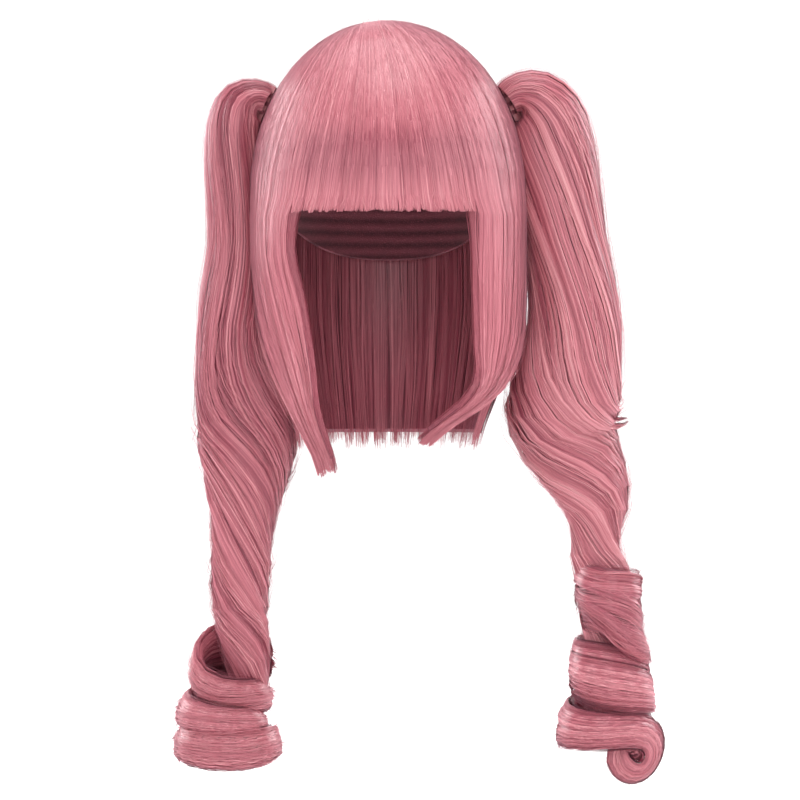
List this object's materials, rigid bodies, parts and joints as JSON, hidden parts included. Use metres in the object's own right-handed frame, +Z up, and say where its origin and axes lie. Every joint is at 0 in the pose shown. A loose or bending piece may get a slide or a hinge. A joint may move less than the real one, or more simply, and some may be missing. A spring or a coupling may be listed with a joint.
{
  "type": "pigtail wig",
  "caption": "Synthetic wig: a hollow cap under a bob with straight fringe and long side locks, with a wavy clip-on pigtail at each side ending in spiral curls.",
  "frame": {"origin": "inside of the cap's crown, where the top of the wearer's head sits", "axes": "+Z up; the face looks along -Y; +X is the wearer's left"},
  "size_m": [0.3441, 0.2233, 0.5357],
  "materials": {
    "hair": "satin pink synthetic fibre",
    "cap_net": "matt stretch net",
    "clip": "dark moulded plastic"
  },
  "bodies": {
    "root": {"cap": "cap_net", "crown_whorl": "hair", "fringe": "hair", "side_lock_left": "hair", "side_lock_right": "hair", "back_hair": "hair", "claw_clip_left": "clip", "claw_clip_right": "clip", "pigtail_left": "hair", "pigtail_right": "hair"}
  },
  "joints": []
}
